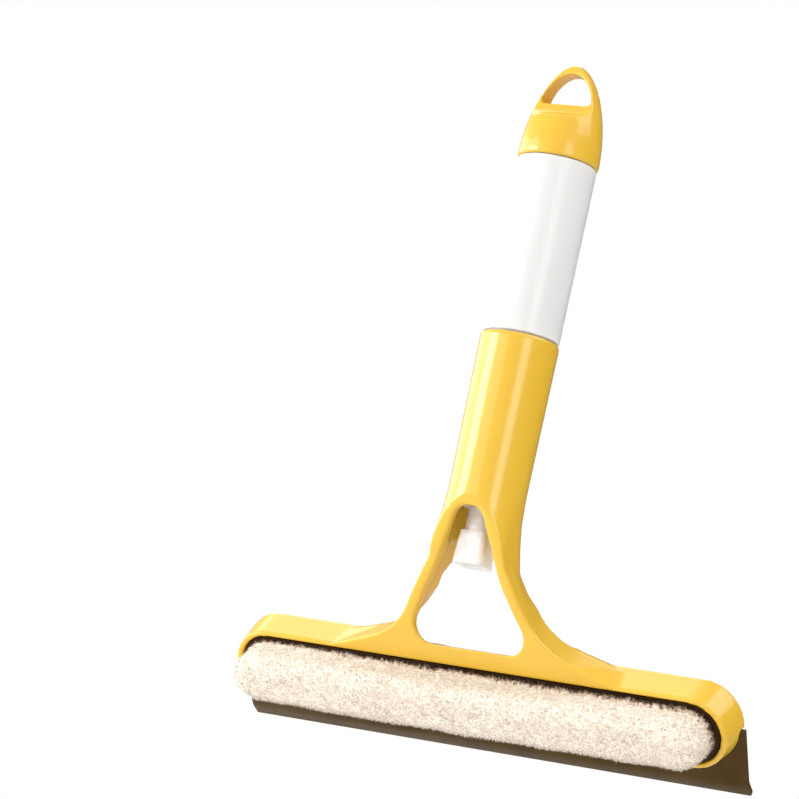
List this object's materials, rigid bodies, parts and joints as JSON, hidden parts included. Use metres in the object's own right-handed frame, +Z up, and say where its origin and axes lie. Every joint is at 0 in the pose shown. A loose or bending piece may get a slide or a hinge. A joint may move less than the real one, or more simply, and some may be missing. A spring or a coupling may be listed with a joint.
{
  "type": "window squeegee with spray bottle and sponge",
  "caption": "Window squeegee whose handle is a spray bottle with a hang loop, with a plush sponge pad in front of the head and a rubber blade behind it.",
  "frame": {"origin": "top of the hang loop's hole, on the handle's axis, where a hook bears", "axes": "+X along the blade, to the right of someone who looks at the pad; +Z up the handle towards the hang loop; -Y towards the side that carries the pad"},
  "size_m": [0.24, 0.0783, 0.2927],
  "materials": {
    "yellow_plastic": "glossy moulded plastic",
    "brown_rubber": "satin rubber",
    "steel": "plated steel",
    "tape": "hook-and-loop tape",
    "dark_plastic": "satin moulded plastic",
    "pile": "short plush pile",
    "sponge": "open-celled sponge",
    "milky_plastic": "milky translucent plastic",
    "seal_rubber": "satin rubber",
    "white_plastic": "satin moulded plastic",
    "clear_plastic": "clear plastic"
  },
  "bodies": {
    "shell": {"body_moulding": "yellow_plastic", "blade": "brown_rubber", "blade_clamp": "yellow_plastic", "clamp_screw_1": "steel", "clamp_screw_2": "steel", "clamp_screw_3": "steel", "clamp_screw_4": "steel", "hook_tape": "tape"},
    "pad": {"pile_cover": "pile", "sponge_core": "sponge", "pad_plate": "dark_plastic", "loop_tape": "tape"},
    "bottle_unit": {"bottle": "milky_plastic", "pump_collar": "white_plastic", "neck_gasket": "seal_rubber", "pump_housing": "white_plastic", "dip_tube": "clear_plastic", "stem_retainer": "white_plastic", "pump_spring": "steel"},
    "cap_seal": {"cap_gasket": "seal_rubber"},
    "cap": {"end_cap": "yellow_plastic"},
    "pump_button": {"spray_button": "white_plastic", "mist_nozzle": "white_plastic", "pump_stem": "white_plastic", "piston_seal": "seal_rubber"},
    "mist_hood": {"mist_cap": "clear_plastic"},
    "valve_ball": {"check_ball": "steel"}
  },
  "joints": [
    {"name": "pad_pull", "type": "slide", "parent": "shell", "child": "pad", "axis": [0, -0.8111, -0.585], "range_m": [0, 0.03]},
    {"name": "bottle_pull", "type": "slide", "parent": "shell", "child": "bottle_unit", "axis": [0, 0, 1], "range_m": [0, 0.11]},
    {"name": "cap_lift", "type": "slide", "parent": "bottle_unit", "child": "cap_seal", "axis": [0, 0, 1], "range_m": [0, 0.0046]},
    {"name": "cap_turn", "type": "hinge", "parent": "cap_seal", "child": "cap", "pos_m": [0, 0, -0.0334], "axis": [0, 0, 1], "range_deg": [0, 540]},
    {"name": "button_press", "type": "slide", "parent": "bottle_unit", "child": "pump_button", "axis": [0, 0, 1], "range_m": [0, 0.0036], "stiffness_N_per_m": 2000, "springref_m": -0.002, "deforming": ["pump_spring"]},
    {"name": "hood_pull", "type": "slide", "parent": "bottle_unit", "child": "mist_hood", "axis": [0, 0, -1], "range_m": [0, 0.026]},
    {"name": "valve_lift", "type": "slide", "parent": "bottle_unit", "child": "valve_ball", "axis": [0, 0, 1], "range_m": [0, 0.0012]}
  ],
  "couplings": [
    {"joint": "cap_lift", "follows": "cap_turn", "m_per_rad": 0.00047746}
  ]
}
